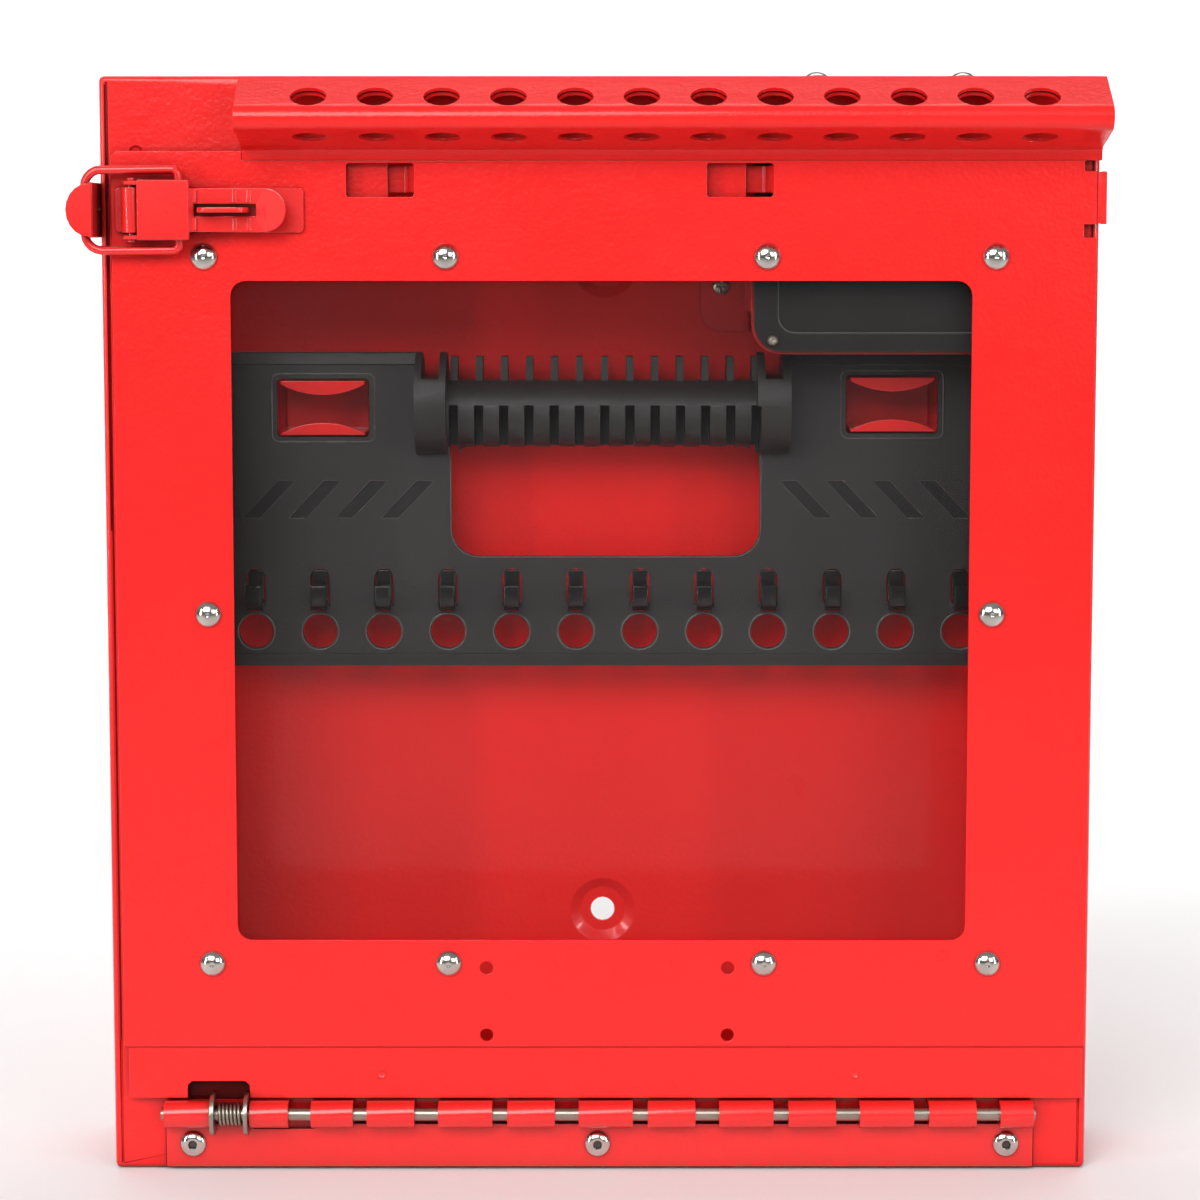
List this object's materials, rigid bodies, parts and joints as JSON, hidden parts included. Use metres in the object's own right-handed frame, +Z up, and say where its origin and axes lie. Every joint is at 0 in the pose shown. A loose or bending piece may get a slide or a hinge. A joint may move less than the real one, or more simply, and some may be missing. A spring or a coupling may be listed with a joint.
{
  "type": "wall-mounted group lockout box",
  "caption": "Sheet-steel wall lockout box with a windowed drop-down door, a padlock nose, a side draw latch, a key slot and a removable key hook rack.",
  "frame": {"origin": "middle of the case's underside, below the middle of its depth", "axes": "-Y out of the door's front, +X to the right seen from the front, +Z up"},
  "size_m": [0.3678, 0.1004, 0.3999],
  "materials": {
    "case_shell": "glossy red powder coat",
    "hasp_flange": "glossy red powder coat",
    "chute_bracket": "glossy red powder coat",
    "rack_bracket_left": "glossy red powder coat",
    "rack_bracket_right": "glossy red powder coat",
    "door_panel": "glossy red powder coat",
    "hinge_case_leaf": "glossy red powder coat",
    "hinge_door_leaf": "glossy red powder coat",
    "latch_keeper": "glossy red powder coat",
    "latch_base": "glossy red powder coat",
    "latch_lever": "glossy red powder coat",
    "latch_pivot_pin": "glossy red powder coat",
    "latch_bail": "glossy red powder coat",
    "chute_screw": "bright zinc plate",
    "bracket_screw": "bright zinc plate",
    "chute_rivet_1": "bright zinc plate",
    "chute_rivet_2": "bright zinc plate",
    "keeper_rivet_1": "bright zinc plate",
    "keeper_rivet_2": "bright zinc plate",
    "hinge_rivet_1": "bright zinc plate",
    "hinge_rivet_2": "bright zinc plate",
    "hinge_rivet_3": "bright zinc plate",
    "hinge_pin": "bright zinc plate",
    "hinge_spring": "bright zinc plate",
    "spring_seat_fixed": "bright zinc plate",
    "spring_seat_sliding": "bright zinc plate",
    "window_rivet_1": "bright zinc plate",
    "window_rivet_2": "bright zinc plate",
    "window_rivet_3": "bright zinc plate",
    "window_rivet_4": "bright zinc plate",
    "window_rivet_5": "bright zinc plate",
    "window_rivet_6": "bright zinc plate",
    "window_rivet_7": "bright zinc plate",
    "window_rivet_8": "bright zinc plate",
    "window_rivet_9": "bright zinc plate",
    "window_rivet_10": "bright zinc plate",
    "key_chute": "black moulded plastic, fine grain",
    "hook_rack": "black moulded plastic, fine grain",
    "window_pane": "clear glossy polycarbonate"
  },
  "bodies": {
    "case": {"case_shell": "case_shell", "hasp_flange": "hasp_flange", "key_chute": "key_chute", "chute_bracket": "chute_bracket", "chute_screw": "chute_screw", "bracket_screw": "bracket_screw", "chute_rivet_1": "chute_rivet_1", "chute_rivet_2": "chute_rivet_2", "rack_bracket_left": "rack_bracket_left", "rack_bracket_right": "rack_bracket_right", "latch_keeper": "latch_keeper", "keeper_rivet_1": "keeper_rivet_1", "keeper_rivet_2": "keeper_rivet_2", "hinge_case_leaf": "hinge_case_leaf", "hinge_pin": "hinge_pin", "hinge_spring": "hinge_spring", "spring_seat_fixed": "spring_seat_fixed", "hinge_rivet_1": "hinge_rivet_1", "hinge_rivet_2": "hinge_rivet_2", "hinge_rivet_3": "hinge_rivet_3"},
    "carriage": {"spring_seat_sliding": "spring_seat_sliding"},
    "door": {"door_panel": "door_panel", "window_pane": "window_pane", "hinge_door_leaf": "hinge_door_leaf", "latch_base": "latch_base", "latch_pivot_pin": "latch_pivot_pin", "window_rivet_1": "window_rivet_1", "window_rivet_2": "window_rivet_2", "window_rivet_3": "window_rivet_3", "window_rivet_4": "window_rivet_4", "window_rivet_5": "window_rivet_5", "window_rivet_6": "window_rivet_6", "window_rivet_7": "window_rivet_7", "window_rivet_8": "window_rivet_8", "window_rivet_9": "window_rivet_9", "window_rivet_10": "window_rivet_10"},
    "lever": {"latch_lever": "latch_lever"},
    "bail": {"latch_bail": "latch_bail"},
    "rack": {"hook_rack": "hook_rack"}
  },
  "joints": [
    {"name": "door_slide", "type": "slide", "parent": "case", "child": "carriage", "axis": [1, 0, 0], "range_m": [0, 0.0052], "deforming": ["hinge_spring"]},
    {"name": "door_fold", "type": "hinge", "parent": "carriage", "child": "door", "pos_m": [0, -0.0378, 0.02175], "axis": [1, 0, 0], "range_deg": [0, 88]},
    {"name": "latch_lever", "type": "hinge", "parent": "door", "child": "lever", "pos_m": [-0.1655, -0.0425, 0.3496], "axis": [0, 0, -1], "range_deg": [0, 135]},
    {"name": "latch_bail", "type": "hinge", "parent": "lever", "child": "bail", "pos_m": [-0.1488, -0.0425, 0.3496], "axis": [0, 0, -1], "range_deg": [-84, 0]},
    {"name": "rack_pull", "type": "slide", "parent": "case", "child": "rack", "axis": [0, -1, 0], "range_m": [0, 0.008]}
  ],
  "couplings": [
    {"joint": "latch_lever", "follows": "door_slide", "rad_per_m": 440},
    {"joint": "latch_bail", "follows": "door_slide", "rad_per_m": -272.8}
  ]
}
